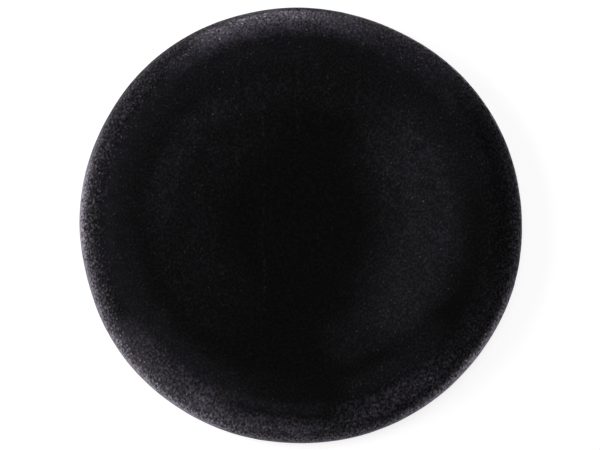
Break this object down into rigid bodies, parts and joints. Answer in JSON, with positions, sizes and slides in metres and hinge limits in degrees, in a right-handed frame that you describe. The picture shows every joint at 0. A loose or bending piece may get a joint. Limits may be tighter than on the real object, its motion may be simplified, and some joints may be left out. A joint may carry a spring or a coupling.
{
  "type": "furniture slider",
  "caption": "Round furniture slider: a napped fabric sole with a shallow dish and soft rim over a moulded plate, with a treaded rubber grip pad set in its back.",
  "frame": {"origin": "on the slider's axis, in the plane that the grip pad's tread stands on", "axes": "+Z along the axis towards the napped sole, as the picture shows it; +X is right and +Y is up in the picture. In use the slider is turned over, sole down."},
  "size_m": [0.089, 0.089, 0.014],
  "materials": {
    "napped_fabric": "short dense black nap, soft sheen at grazing angles",
    "moulded_plastic": "moulded, fine matt texture",
    "closed_foam": "closed-cell foam with a cut edge",
    "grip_rubber": "matt moulded rubber",
    "adhesive": "thin amber adhesive film"
  },
  "bodies": {
    "root": {"sole_cover": "napped_fabric", "face_bond_film": "adhesive", "hem_bond_ring": "adhesive", "base_plate": "moulded_plastic", "pad_bond_disc": "adhesive", "foam_pad": "closed_foam", "grip_bond_disc": "adhesive", "grip_pad": "grip_rubber"}
  },
  "joints": []
}
